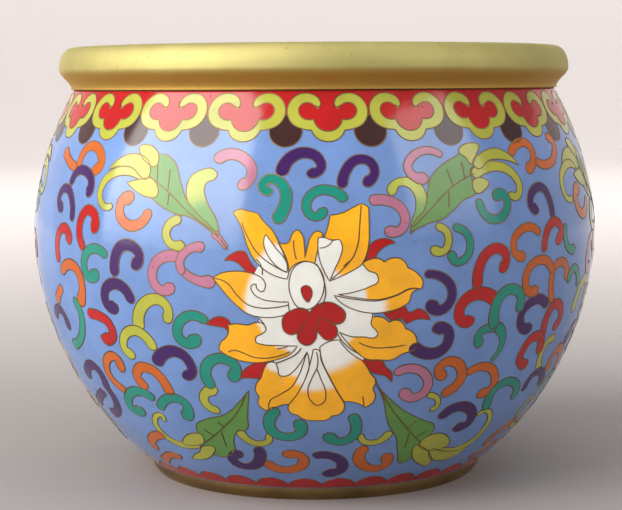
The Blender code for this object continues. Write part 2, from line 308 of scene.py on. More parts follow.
# Leaves: enamel, level, outline; a point written twice is a sharp corner
LEAVES = (
    ("green", 1, (
        -40.5+20j, -37.3+22.6j, -34+21j, -32.2+16.2j, -30.6+12j, -28+9j, -24.4+5.8j, -22.3+3.2j, -22.3+3.2j,
        -25.6+5.6j, -30+8j, -33.4+8.6j, -37+10j, -40+12j, -42+13.8j, -41.4+17j,
    )),
    ("lime", 2, (-39.2+19.6j, -38.4+22.6j, -41+24.7j, -44.2+24j, -43.7+22.4j, -42+20.6j)),
    ("lime", 2, (
        -41.2+20.8j, -43.4+22.2j, -46.6+22.5j, -50.4+21.3j, -54.2+18.4j, -54.2+18.4j, -50.4+19.3j,
        -46.6+19.2j, -41.4+16.6j,
    )),
    ("lime", 2, (-39.6+16.4j, -43.6+16.4j, -47.6+15.4j, -47.6+15.4j, -45+13.6j, -41.4+12.3j, -38.6+12.5j)),
    ("leaf", 0, (
        -22.3+4j, -22.3+4j, -23+7.5j, -25.3+11.5j, -26+14.5j, -25.4+16j, -23.4+16.9j, -22.8+18.1j,
        -23.8+19.2j, -27+18.9j, -29.6+17.2j, -30.6+14j, -29.6+10j, -27.2+6.9j, -24.5+4.9j,
    )),
    ("green", 1, (
        22+4.4j, 22+4.4j, 23.5+7.2j, 25.6+9.4j, 26.4+13j, 27.2+16.6j, 30+19.5j, 34+21.7j, 36.6+22.7j,
        39.2+20.5j, 38+18j, 38.4+16j, 40.2+14j, 38.8+12.4j, 36+11.4j, 33+9j, 30+7j, 27+6.4j, 24.4+5.4j,
    )),
    ("lime", 2, (35+22.8j, 38.4+24.9j, 40.9+24j, 40+22.3j, 39.5+20.8j, 38.4+19.8j, 36.8+21.4j)),
    ("lime", 2, (
        38.8+20j, 41.6+22.4j, 45.8+23.4j, 50+21.9j, 53.6+19j, 53.6+19j, 48.2+20.5j, 44+20.6j, 40+18.6j,
    )),
    ("lime", 2, (38.6+15.6j, 41.6+16.3j, 43.3+15j, 42.2+13.6j, 39.6+12.8j)),
    ("leaf", 0, (
        22.1+3.9j, 22.1+3.9j, 24.8+7j, 26.2+10.6j, 25.8+13.8j, 24+16.2j, 20.8+17.1j, 17.8+16.2j, 16.6+14j,
        17.6+12.9j, 18.8+13.6j, 19.2+14.8j, 21.4+14.8j, 23.2+12.8j, 23.4+9.6j, 22.4+6.6j,
    )),
    ("green", 1, (
        14.4-33.2j, 14.4-33.2j, 16.8-36.2j, 20.8-40.6j, 26-44.4j, 29.8-47j, 28.6-50.4j, 25.8-54j, 24.4-58j,
        21.6-60.2j, 20.2-55j, 19.4-49.2j, 18-46.4j, 16.8-42j, 16.2-38j,
    )),
    ("lime", 2, (25.9-53.4j, 27.9-50.8j, 31-49.8j, 34-51.4j, 35-54.4j, 32-56.4j, 28.4-56j)),
    ("lime", 2, (25.2-53.6j, 24.2-57j, 25.6-60.6j, 29-63.2j, 29-63.2j, 30.2-61j, 29.8-58.6j, 28-55.4j)),
    ("lime", 2, (
        29.2-58.6j, 31.4-61j, 35-61.7j, 38.8-60.2j, 42.4-57j, 42.4-57j, 37.6-58.2j, 33-57.2j, 29.4-55.8j,
    )),
    ("green", 1, (
        -16-34.3j, -16-34.3j, -18.8-38.4j, -22.2-42j, -26.8-43.8j, -30-46j, -29.8-49.6j, -29-53j,
        -26.8-54.6j, -25.6-57j, -22.4-57.2j, -20.2-54.6j, -20.3-50.6j, -19.2-47.4j, -17-46.6j, -16.5-42j,
    )),
    ("lime", 2, (-29.2-49.4j, -31.6-49.4j, -34.2-51.4j, -34.9-53.8j, -32-54j, -28.6-52.6j)),
    ("lime", 2, (
        -25.8-53.8j, -26.4-57j, -29-59.4j, -32.8-59.8j, -32.8-59.8j, -31.8-57.8j, -30.2-56.4j, -29.2-54.2j,
    )),
)

# Lotus: enamel, level, distances from its heart where white ends and yellow is full, outline
PETALS = (
    ("red", 0, 0, 0, (
        -21.1-1.9j, -21.1-1.9j, -19.2-0.2j, -16.2+0.2j, -15.2-1.6j, -13.9-3.4j, -12.2-5j, -12.2-5j,
        -15-5.2j, -16.6-3.6j, -18.2-2.2j,
    )),
    ("red", 0, 0, 0, (
        -25.9-17.3j, -25.9-17.3j, -24.4-15.8j, -22-15.2j, -20.2-16.2j, -20.2-19.2j, -20.2-19.2j, -21.4-18j,
        -23.5-17.6j,
    )),
    ("red", 0, 0, 0, (
        -18.1-31j, -18.1-31j, -17-28.8j, -14.6-26.9j, -11.2-26.5j, -12-28.5j, -13-31j, -13-31j, -15.5-30.8j,
    )),
    ("red", 0, 0, 0, (
        10.4-25.5j, 10.4-25.5j, 13-26.2j, 15.3-26.2j, 16.4-28j, 17.8-29.6j, 17.8-32.2j, 17.8-32.2j,
        16.2-30.4j, 13.6-29.6j, 12.2-28.4j,
    )),
    ("red", 0, 0, 0, (
        15.8-14.2j, 15.8-14.2j, 18.8-13.6j, 20.6-12.8j, 21.9-14.4j, 24.2-13.6j, 26-14.6j, 27.2-16.6j,
        27.2-16.6j, 24-16.2j, 21.3-17.2j, 21.3-17.2j, 20-15.9j, 17.6-16j,
    )),
    ("red", 0, 0, 0, (
        11-3j, 11-3j, 11.8-0.5j, 12.5+1.7j, 14.4+2.9j, 16.8+3j, 18.4+2j, 18.4+2j, 16.2+1.4j, 14.4+0j,
        13.4-1.6j,
    )),
    ("petal", 2, 14.5, 17, (
        -18.9+9j, -18.9+9j, -17.6+9.9j, -15.5+9.6j, -13.1+9j, -13.1+9j, -11.6+7j, -9.8+5.2j, -8.8+3.5j,
        -7.7+1.2j, -6.5-1.5j, -6.1-4j, -6.5-5.9j, -6.5-5.9j, -9-5.3j, -12-3.6j, -14.2-1.2j, -15.7+1.8j,
        -16.5+4.6j, -17.5+6.9j,
    )),
    ("petal", 2, 13.6, 16, (
        -24-6j, -24-6j, -21.8-4.8j, -19-4.3j, -16-4.4j, -13.6-5j, -11.9-6.2j, -11.5-7.8j, -12.2-8.9j,
        -13.4-8.3j, -13.6-7.2j, -13.6-7.2j, -14.8-7.6j, -14.3-9.4j, -12.6-10.6j, -9.8-11.2j, -6.3-11.3j,
        -6.3-11.3j, -6-14j, -6-14j, -9-14.9j, -12.8-15j, -15.6-14.3j, -18.2-12.4j, -20.8-9.8j, -22.8-7.4j,
    )),
    ("petal", 2, 12.2, 13.2, (
        -20.6-17.2j, -20.6-17.2j, -18.5-16.8j, -15.6-17j, -13.5-16.3j, -12-16.8j, -11.5-18j, -12.4-19.1j,
        -13.8-19.9j, -13.9-21.2j, -12.4-21.8j, -9-22j, -4.3-22.1j, -4.3-22.1j, -6-24.2j, -9-25.6j,
        -13-26.5j, -17-26.3j, -20.3-25.2j, -22.9-23.6j, -22.9-23.6j, -22.4-21.6j, -21-20.2j, -20.4-18.6j,
    )),
    ("petal", 2, 17.5, 19.5, (
        -2.1-23.6j, -2.1-23.6j, -2.9-26.5j, -4-29.8j, -5.9-33.2j, -8.6-35.3j, -10.8-37j, -11-40j, -11-40j,
        -12.9-39.3j, -13.7-38j, -13.3-36j, -13.3-36j, -14.3-34j, -13.9-32.1j, -12.9-30.6j, -12.3-28.6j,
        -11.6-27j, -11.6-27j, -9.6-26.4j, -8.9-28j, -8.5-29.8j, -7-30j, -5.3-28.8j, -3.7-26.6j,
    )),
    ("petal", 2, 19, 22, (
        -2.1-23.6j, -2.1-23.6j, -1.6-27.6j, -2.6-31j, -4.2-34.6j, -6.3-37.9j, -6.3-37.9j, -8.6-38.5j,
        -11-40j, -11-40j, -10.8-37j, -8.6-35.3j, -5.9-33.2j, -4-29.8j, -2.9-26.5j,
    )),
    ("petal", 2, 20.5, 23.5, (
        -0.6-23j, -0.6-23j, -1.6-27.6j, -2.6-31j, -4.2-34.6j, -6.3-37.9j, -6.3-37.9j, -6.4-40j, -4.5-41.2j,
        -4.5-41.2j, -2.6-42.7j, 0-43j, 2.7-42.7j, 3.8-41.5j, 3.8-41.5j, 5.6-41j, 6.6-39.4j, 6.4-37.4j,
        6.4-37.4j, 4.7-34j, 2.9-30j, 1.2-25.8j, 0.4-23j,
    )),
    ("petal", 2, 15.5, 19.5, (
        0.9-22.4j, 0.9-22.4j, 1.4-25.8j, 3.05-30j, 4.85-34j, 6.55-37.3j, 6.55-37.3j, 8.9-37.6j, 11.6-39.2j,
        11.6-39.2j, 13.4-37.8j, 14-35.8j, 13.4-34j, 14.1-31.6j, 12.9-29.8j, 11.9-27.8j, 10.6-25.9j,
        10.6-25.9j, 8-24j, 5.4-20.6j, 5.4-20.6j, 3-21j,
    )),
    ("petal", 2, 12.2, 13.6, (
        13.2-15.2j, 13.2-15.2j, 15.5-15.4j, 17-16.6j, 17-16.6j, 19.5-16.3j, 21-18.4j, 21-18.4j, 22.8-19.3j,
        23.9-21.6j, 23.2-24.2j, 23.2-24.2j, 20.5-24.7j, 18-26.1j, 14.5-26j, 11.8-25.7j, 9.9-24.2j,
        9.9-24.2j, 7-21j, 5.4-18.6j, 5.4-18.6j, 8-19.8j, 11-20j, 13.9-20.1j, 14.4-19.4j, 13.9-18.4j,
        12.9-17.2j,
    )),
    ("petal", 2, 12.6, 14, (
        10.8-2.4j, 10.8-2.4j, 12.4-1.6j, 14.4-1.4j, 15.8-2.3j, 15.8-2.3j, 17.4-1.5j, 20-1.8j, 21.4-3.8j,
        21.4-3.8j, 23.8-5.2j, 25.2-7.4j, 24.6-8.9j, 24.6-8.9j, 22.3-8.6j, 18.8-10j, 14.4-11j, 9.6-10.5j,
        5-9.6j, 5-9.6j, 9.6-8.9j, 12.2-8j, 14.4-6.6j, 14-5j, 12.2-4.2j,
    )),
    ("petal", 2, 16, 19.5, (
        24.6-8.9j, 24.6-8.9j, 22.4-9.8j, 21.9-11.6j, 19.8-13.1j, 17-13.9j, 13-14.2j, 9-13.3j, 6.4-12j,
        4.2-9.8j, 4.2-9.8j, 9.6-10.9j, 14.4-11.3j, 18.8-10.2j, 22.3-8.8j,
    )),
    ("petal", 2, 9, 11, (
        1.9+3.4j, 1.9+3.4j, 2.9+6.2j, 3.4+8.6j, 3.4+8.6j, 6.4+9.2j, 8.8+10.4j, 10.6+11.1j, 12.2+10.2j,
        12.2+10.2j, 12.3+6j, 12.2+2j, 11.4-1.2j, 10.4-2.9j, 10.4-2.9j, 7.4-4.6j, 3.2-6.4j, 3.2-6.4j,
        4.4-3.6j, 5.6-1j, 6.1+1.6j, 5.4+2.9j, 4+3j,
    )),
    ("petal", 2, 8, 9.5, (
        -8.6+2.6j, -8.6+2.6j, -6.2+2.4j, -5.2+4.4j, -4.2+5.3j, -3.1+4.4j, -2.5+1.6j, -2.4-1j, -2.4-1j,
        -1.8+1.4j, -1+3.8j, 0.3+5j, 1.7+4.4j, 1.7+4.4j, 0.6+1j, -0.2-2.6j, -0.2-2.6j, -2.6-1.8j, -6-4.2j,
        -6-4.2j, -6.7-1.6j,
    )),
    ("white", 3, 0, 0, (
        -11.3+4.3j, -11.3+4.3j, -10.2+2.8j, -8.8+0.9j, -7.3-0.8j, -6.5-2.4j, -6.5-4.3j, -6.5-4.3j,
        -8.3-3.4j, -9.8-2j, -11.2+0.2j, -11.8+2.6j,
    )),
    ("white", 3, 0, 0, (
        0.7+3.6j, 0.7+3.6j, 2.2+3.5j, 3.8+2.9j, 5.4+3j, 6.1+1.6j, 5.6-1j, 4.4-3.6j, 3.2-6.4j, 3.2-6.4j,
        1.9-4j, 0.8-0.8j,
    )),
    ("white", 3, 0, 0, (
        -2.4-1.9j, -4.6-3j, -6-6.4j, -5.6-10j, -3.6-12.8j, -1.6-13j, 0.6-11.4j, 1.9-8j, 1.4-4.4j, -0.2-2.4j,
    )),
    ("red", 3, 0, 0, (
        -7.7-16.9j, -7.3-14.6j, -5.2-13.2j, -3.2-12.7j, -1.4-13.8j, -1.4-13.8j, 0.4-12j, 2.6-11.3j,
        5.2-12.3j, 6.8-14.2j, 6.2-16.2j, 3.4-16.2j, 3.4-16.2j, 4.8-17.6j, 4.6-19.8j, 2.6-20.6j, 0.8-19j,
        0-18j, 0-18j, -0.2-20.6j, -2-21.9j, -3.9-20.8j, -4-18.4j, -4-18.4j, -5.8-19.2j, -7.2-18.4j,
    )),
)

# Red drop in the lotus bulb, set a little higher than the bulb
DROP = (-2.2-7.4j, -3.2-8j, -3.1-9.4j, -2.2-11j, -1.8-11.3j, -1.2-10.6j, -0.8-9.2j, -1.2-7.9j)

# White ground that the petals stand on
HEART = (
    -6.4+1j, -10.5-1j, -12.8-2.8j, -14.5-5.6j, -16-8j, -15.4-11j, -13.2-14.8j, -13-16.6j, -14.6-20.4j,
    -13-23j, -10.5-24.8j, -9.6-26.4j, -10-29.4j, -7-31.2j, -4-31.6j, 0-32j, 4-31.8j, 7-31j, 10.8-26j,
    14.8-20.2j, 13.6-16j, 13.4-13.6j, 15.6-11j, 15.4-6.4j, 11.2-1.8j, 6.2+2.8j, 1.9+3.6j, -1-2j,
)

# Folds of the petals, stems and veins, drawn as single wires
LINES = (
    (-16.9+6.9j, -15.4+3.4j, -13.6+0.4j, -11.2-1.8j, -8.8-3.3j, -6.5-4.4j),
    (-23.8-6.1j, -20.6-7j, -18.4-9.6j, -15.8-12j, -12.8-12.8j, -9-12.6j, -6.2-12j),
    (-20.6-24j, -19.2-23.5j, -17.2-24j, -14.6-25.1j, -11.6-25.3j, -8-24.5j, -6-23.5j),
    (-9-22.9j, -6.6-22.3j),
    (
        0.1-23.6j, 0.4-27j, -0.9-30.4j, -1.9-33.6j, -1.2-37j, 0.4-38.3j, 1.9-37.2j, 2.2-34.2j, 1.2-31j,
        0.2-28j,
    ),
    (-13.1-15.3j, -11.9-16.7j),
    (-13.6-1.4j, -12.4-3j, -12.2-5j),
    (13.2-14.2j, 13-15.2j),
    (9.9-24.2j, 6.6-21.6j, 4.9-18.9j),
    (10-21.4j, 13-22.7j, 17-22.9j, 20.8-22.5j),
    (10.5+10.8j, 10.1+6j, 9.7+2j, 8.6-0.9j, 6.3-3.6j, 3.6-6j),
    (7.8-1.8j, 6.4-3j),
    (11-36j, 11.3-38.6j),
    (-4.9+3j, -4.8+0.6j, -4.3-1.4j),
    (0.2-2.4j, 1.9-6.4j, 2.2-10j, 0.9-12.6j),
    (0.9+1.2j, 2.3+1.4j, 3.9+2.8j),
    (5.6-16.5j, 3.6-16.3j, 1.8-15.2j),
    (0-18.4j, 0.3-16.6j, 1-15j),
    (-4.1-18.8j, -3-17.2j, -2.4-15.8j),
    (-1.5-13.6j, -1.2-14.6j),
    (-9.2-26.5j, -6.6-25.4j, -4.4-24j, -3.4-22.6j),
    (-41+17.2j, -36+14j, -30+9j, -24.4+5.2j),
    (39+17.4j, 33+14.6j, 27+9.4j, 23+5.6j),
    (15.4-34.6j, 18.6-41j, 22.4-47j, 26.4-53j),
    (-16.8-35.8j, -19-41j, -23-46.6j, -28.2-52.4j),
    (13.8-31.4j, 15.2-34.6j, 16.4-37.4j),
    (-22+3j, -20.4+0.6j),
    (24.6-44.6j, 22.4-47j),
    (22-54j, 23-49j),
    (27.6-48.6j, 24.4-50.4j),
    (-24.2-44.6j, -22.4-46.2j),
    (-22.4-53j, -23.4-48j),
    (-28-47.6j, -25.6-49.4j),
    (31.6+18.8j, 33+14.8j),
    (31.8+9.8j, 32+13.6j),
    (35.6+20.4j, 36.4+16.4j),
    (-35+19j, -35.6+14j),
    (-35.6+10.6j, -35.2+13.4j),
    (-38.6+20j, -38.6+16j),
)

# One lappet head, left half, about its own middle: lime body, the red filling's edge, and the filling's top,
# which runs into the red strip between the hooks
HEAD_BODY = (
    0+25.8j, -2.5+26.6j, -3.8+28.6j, -3.8+28.6j, -5.8+28.9j, -8.2+30.2j, -9.3+32.9j, -8.4+36j, -5.7+37.9j,
    -3.3+37.6j, -1.8+36.2j, -1.7+34.7j, -2.5+34.2j, -3.2+34.9j, -3.2+34.9j, 0+33j,
)
HEAD_FILL = (
    0+28.3j, -1.75+28.8j, -2.9+30.1j, -3.3+31.3j, -3.3+31.3j, -4.6+31.15j, -6.1+31.9j, -6.7+33.4j, -6+35j,
    -4.6+35.5j, -3.3+34.9j,
)
HEAD_THROAT = (-2.6+34j, -1.4+34.4j, -1.4+34.4j, -1.3+36j, -1.3+36j, 0+36j)


def bulge_depth(end_radius, reach, fullness):
    """How far from its widest level a belly curve would close, if it has end_radius at a height of reach."""
    return reach / (1 - (end_radius / BELLY_RADIUS) ** fullness) ** (1 / fullness)


UPPER_DEPTH = bulge_depth(NECK_RADIUS, NECK_LEVEL - BELLY_LEVEL, UPPER_FULLNESS)
LOWER_DEPTH = bulge_depth(BASE_RADIUS, BELLY_LEVEL - UNDERSIDE, LOWER_FULLNESS)


def belly_radius(level, inward=0.0):
    """Radius of the skin at a level, or of the same curve drawn inward by a wall.

    The curve is (radius / widest radius)^fullness + (height / depth)^fullness = 1.
    """
    above = level > BELLY_LEVEL
    depth = np.where(above, UPPER_DEPTH, LOWER_DEPTH) - inward
    fullness = np.where(above, UPPER_FULLNESS, LOWER_FULLNESS)
    share = (np.abs(level - BELLY_LEVEL) / depth) ** fullness
    return (BELLY_RADIUS - inward) * (1 - share) ** (1 / fullness)


# Table of the skin: level, radius, run up the skin from the widest level, and the outward direction
LEVELS = np.linspace(UNDERSIDE, NECK_LEVEL, SKIN_ROWS)
RADII = belly_radius(LEVELS)
RUN = np.append(0, np.cumsum(np.hypot(np.diff(LEVELS), np.diff(RADII))))
RUN = RUN - np.interp(BELLY_LEVEL, LEVELS, RUN)
LEAN = np.arctan2(-np.gradient(RADII, LEVELS), 1.0)


def skin_radius(v):
    """Radius of the skin at a run of v up from its widest level."""
    return np.interp(v, RUN, RADII)


def round_angle(drawing, turn, squeeze=1.0):
    """Angle round the bowl of each point of a drawing whose middle stands at a turn from the front."""
    return turn + squeeze * drawing.real / skin_radius(drawing.imag)


def on_skin(angle, v, lift):
    """Points on the skin at an angle round it and a run v up it, lifted along the outward direction."""
    lean = np.interp(v, RUN, LEAN)
    radius = skin_radius(v) + lift * np.cos(lean)
    level = np.interp(v, RUN, LEVELS) + lift * np.sin(lean)
    return np.stack((radius * np.sin(angle), -radius * np.cos(angle), level), axis=-1)


def smooth(points, closed):
    """A smooth curve through given points; a point written twice is a corner.

    Each stretch is a cubic that leaves and arrives along the circle through a point and its neighbours.
    """
    line = np.array(points)
    repeated = np.roll(line, -1) == line
    if not closed:
        repeated[-1] = False
    corner = np.roll(repeated, 1)[~repeated]
    line = line[~repeated]
    chord = np.roll(line, -1) - line
    before = np.roll(chord, 1)
    unit = chord / np.abs(chord)
    heading = before * np.abs(chord) / np.abs(before) + chord * np.abs(before) / np.abs(chord)
    heading = heading / np.abs(heading)
    if not closed:
        corner[0] = corner[-1] = True
    end_corner = np.roll(corner, -1)
    leave = np.where(corner, unit**2 * np.conj(np.roll(heading, -1)), heading)
    arrive = np.where(end_corner, unit**2 * np.conj(heading), np.roll(heading, -1))
    straight = corner & end_corner
    leave[straight] = unit[straight]
    arrive[straight] = unit[straight]
    t = np.arange(SPAN_STEPS)[:, None] / SPAN_STEPS
    size = np.abs(chord)
    curve = line + chord * t**2 * (3 - 2 * t) + size * t * (1 - t) ** 2 * leave
    curve = (curve - size * t**2 * (1 - t) * arrive).T
    if closed:
        return curve.ravel()
    return np.append(curve[:-1].ravel(), line[-1])


def curled_on(line, reach):
    """A line carried on past its end by a reach, turning as sharply as its last stretch does."""
    step = np.diff(line[-3:])
    turning = np.angle(step[1] / step[0]) / np.abs(step[1])
    run = reach * np.arange(1, CARRY_STEPS + 1) / CARRY_STEPS
    heading = np.exp(1j * (np.angle(step[1]) + turning * run))
    return np.append(line, line[-1] + np.cumsum(heading) * reach / CARRY_STEPS)


def ribbon(line, wide, narrow, bulb):
    """Both edges of a ribbon along a middle line, with half-round ends.

    It tapers from wide to narrow, and swells to a bulb that is centred half its own width before the tip.
    """
    line = curled_on(line, bulb * TIP_CARRY)
    run = np.append(0, np.cumsum(np.abs(np.diff(line))))
    share = (1 - np.cos(np.pi * np.arange(CURL_STEPS + 1) / CURL_STEPS)) / 2
    middle = np.interp(share * run[-1], run, line)
    heading = np.gradient(middle)
    heading = heading / np.abs(heading)
    left_over = (1 - share) * run[-1]
    swell = np.exp(-(((left_over - bulb / 2) / (BULB_BLEND * bulb)) ** 2))
    half = (wide + (narrow - wide) * share + (bulb - narrow) * swell) / 2
    room = np.minimum(np.minimum(share * run[-1], left_over), half)
    half = np.sqrt(half**2 - (half - room) ** 2)
    half = np.maximum(half, TIP_WIDTH / 2)
    return middle + 1j * heading * half, middle - 1j * heading * half


def grid_faces(rows, columns):
    """Triangles of a grid of points, row by row."""
    index = np.arange(rows * columns).reshape(rows, columns)
    a, b = index[:-1, :-1].ravel(), index[:-1, 1:].ravel()
    c, d = index[1:, 1:].ravel(), index[1:, :-1].ravel()
    return np.concatenate((np.stack((a, b, c), 1), np.stack((a, c, d), 1)))


def inside(points, outline):
    """Which points lie inside a closed outline, by counting the outline's crossings to their right."""
    start = outline[:, None]
    end = np.roll(outline, -1)[:, None]
    spans = (start.imag > points.imag) != (end.imag > points.imag)
    rise = np.where(end.imag == start.imag, 1.0, end.imag - start.imag)
    cross = start.real + (points.imag - start.imag) * (end.real - start.real) / rise
    return (spans & (cross > points.real)).sum(0) % 2 == 1


def fill_outline(outline):
    """Points and triangles that fill a closed outline, with a lattice of points inside it."""
    across = np.arange(outline.real.min(), outline.real.max(), FILL_GAP)
    up = np.arange(outline.imag.min(), outline.imag.max(), FILL_GAP)
    lattice = (across[None, :] + 1j * up[:, None]).ravel()
    lattice = lattice[inside(lattice, outline)]
    apart = np.abs(lattice[:, None] - outline[None, :]).min(1) if len(lattice) else np.zeros(0)
    points = np.concatenate((outline, lattice[apart > FILL_CLEARANCE * FILL_GAP]))
    count = len(outline)
    edges = [(i, (i + 1) % count) for i in range(count)]
    spots = [Vector((point.real, point.imag)) for point in points]
    filled = delaunay_2d_cdt(spots, edges, [list(range(count))], 1, FILL_SNAP)
    flat = np.array([complex(*spot) for spot in filled[0]])
    faces = np.array(filled[2])
    used = np.unique(faces)
    renumber = np.zeros(len(flat), int)
    renumber[used] = np.arange(len(used))
    return flat[used], renumber[faces]


class Tray:
    """Gathers the closed cells of one enamel, or the wires of one panel, until they become one mesh."""

    def __init__(self):
        self.points = []
        self.faces = []
        self.shares = []
        self.count = 0

    def add(self, points, faces, share):
        """Adds points and triangles, with each point's share of the enamel's second colour."""
        self.points.append(points)
        self.faces.append(faces + self.count)
        self.shares.append(np.broadcast_to(share, len(points)))
        self.count += len(points)

    def slab(self, angle, v, faces, lift, share):
        """A closed thin slab on the skin: its top, the same turned over as its underside, and its skirt."""
        a, b, c = faces.T
        area = (angle[b] - angle[a]) * (v[c] - v[a]) - (angle[c] - angle[a]) * (v[b] - v[a])
        faces = np.where((area < 0)[:, None], faces[:, ::-1], faces)
        count = len(angle)
        edges = np.concatenate((faces[:, [0, 1]], faces[:, [1, 2]], faces[:, [2, 0]]))
        code = edges[:, 0] * count + edges[:, 1]
        other = edges[:, 1] * count + edges[:, 0]
        a, b = edges[~np.isin(code, other)].T
        skirt = np.concatenate((np.stack((a, a + count, b + count), 1), np.stack((a, b + count, b), 1)))
        points = np.concatenate((on_skin(angle, v, lift), on_skin(angle, v, CELL_SINK)))
        share = np.tile(np.broadcast_to(share, count), 2)
        self.add(points, np.concatenate((faces, faces[:, ::-1] + count, skirt)), share)

    def wire(self, angle, v, closed, level):
        """A wire laid along a line on the skin: a low flat-topped section carried along it.

        It stands a hair above the enamel of its own level, and under that of the next.
        """
        top = CELL_LIFTS[level] + WIRE_RISE
        spine = on_skin(angle, v, 0.0)
        out = on_skin(angle, v, 1.0) - spine
        if closed:
            along = np.roll(spine, -1, 0) - np.roll(spine, 1, 0)
        else:
            along = np.gradient(spine, axis=0)
        side = np.cross(along, out)
        side = side / np.linalg.norm(side, axis=1)[:, None]
        half = WIRE_WIDTH / 2
        flat = WIRE_TOP_SHARE * half
        section = ((-half, WIRE_SINK), (half, WIRE_SINK), (flat, top), (-flat, top))
        rings = np.stack([spine + side * across + out * height for across, height in section], 1)
        count = len(spine)
        index = np.arange(count * 4).reshape(count, 4)
        here = index if closed else index[:-1]
        ahead = np.roll(index, -1, 0) if closed else index[1:]
        a, b = here.ravel(), np.roll(here, -1, 1).ravel()
        d, c = ahead.ravel(), np.roll(ahead, -1, 1).ravel()
        faces = [np.stack((a, b, c), 1), np.stack((a, c, d), 1)]
        if not closed:
            ends = np.array([[0, 2, 1], [0, 3, 2], [0, 1, 2], [0, 2, 3]])
            ends[2:] += 4 * (count - 1)
            faces.append(ends)
        self.add(rings.reshape(-1, 3), np.concatenate(faces), 0.0)

    def mesh(self, name):
        """One mesh of all that was gathered."""
        points, faces, shares = (np.concatenate(held) for held in (self.points, self.faces, self.shares))
        return surface(name, points, faces, shares)


def surface(name, points, faces, share=None):
    """A mesh from points in millimetres and triangles, with an optional share of a second colour."""
    mesh = bpy.data.meshes.new(name)
    mesh.vertices.add(len(points))
    mesh.vertices.foreach_set("co", (points * MM).astype(np.float32).ravel())
    mesh.loops.add(faces.size)
    mesh.loops.foreach_set("vertex_index", faces.astype(np.int32).ravel())
    mesh.polygons.add(len(faces))
    mesh.polygons.foreach_set("loop_start", np.arange(0, faces.size, 3, dtype=np.int32))
    mesh.update(calc_edges=True)
    mesh.validate()
    if share is not None:
        mesh.attributes.new("share", "FLOAT", "POINT").data.foreach_set("value", share.astype(np.float32))
    mesh.shade_smooth()
    return mesh


def place(mesh, material, replaced=None):
    """Makes a piece of a mesh, gives it its finish, and lets it ride with the burner."""
    mesh.set_sharp_from_angle(angle=math.radians(SHARP_ANGLE))
    piece = bpy.data.objects.new(mesh.name, mesh)
    bpy.context.scene.collection.objects.link(piece)
    mesh.materials.append(material)
    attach(piece, "root")
    if replaced:
        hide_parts(replaced)


def turned(name, radius, level, closed=True):
    """A turned piece: a section of radii and levels that runs down the outer side, carried round the Z axis.

    A closed section's ends join each other. An open one starts and ends on the axis, in a pole of one point.
    """
    angle = np.arange(STEPS_AROUND) * math.tau / STEPS_AROUND
    ring = np.stack((np.cos(angle), np.sin(angle)), -1)
    points = np.empty((len(radius), STEPS_AROUND, 3))
    points[..., :2] = np.asarray(radius)[:, None, None] * ring
    points[..., 2] = np.asarray(level)[:, None]
    index = np.arange(len(radius) * STEPS_AROUND).reshape(len(radius), STEPS_AROUND)
    if not closed:
        index[0], index[-1] = index[0, 0], index[-1, 0]
    above = index if closed else index[:-1]
    below = np.roll(index, -1, 0) if closed else index[1:]
    a, b = above.ravel(), below.ravel()
    d, c = np.roll(above, -1, 1).ravel(), np.roll(below, -1, 1).ravel()
    faces = np.concatenate((np.stack((a, b, c), 1)[b != c], np.stack((a, c, d), 1)[a != d]))
    used, faces = np.unique(faces, return_inverse=True)
    return surface(name, points.reshape(-1, 3)[used], faces.reshape(-1, 3))


def bowl_body():
    """The bowl's section: floor, fillet, inside up to the neck, then the skin and the dished underside."""
    skin = on_skin(0.0, np.linspace(RUN[-1], RUN[0], STEPS_UP), GROUND_LIFT)
    outer = np.concatenate(([-skin[0, 1] - EDGE_TUCK], -skin[:, 1], [-skin[-1, 1] - EDGE_TUCK]))
    level = np.concatenate(([NECK_LEVEL], skin[:, 2], [UNDERSIDE]))
    dish_radius = np.linspace(FOOT_INNER, 0.0, CORNER_STEPS)
    dish_level = UNDERSIDE + BASE_DISH * (1 - (dish_radius / FOOT_INNER) ** 2)
    floor = UNDERSIDE + FLOOR_THICKNESS
    corner, fillet_top = belly_radius(floor + np.array([0.0, FLOOR_FILLET]), WALL)
    t = np.linspace(0, 1, CORNER_STEPS)
    fillet_radius = (1 - t) ** 2 * (corner - FLOOR_FILLET) + 2 * t * (1 - t) * corner + t**2 * fillet_top
    fillet_level = floor + FLOOR_FILLET * t**2
    inner_level = np.linspace(floor + FLOOR_FILLET, NECK_LEVEL, INSIDE_STEPS)[1:]
    inner_radius = belly_radius(inner_level, WALL)
    floor_radius = np.linspace(0.0, corner - FLOOR_FILLET, CORNER_STEPS)[:-1]
    floor_level = np.full(len(floor_radius), floor)
    radius = np.concatenate((floor_radius, fillet_radius, inner_radius, outer, dish_radius))
    height = np.concatenate((floor_level, fillet_level, inner_level, level, dish_level))
    return turned("bowl_body", radius, height, closed=False)


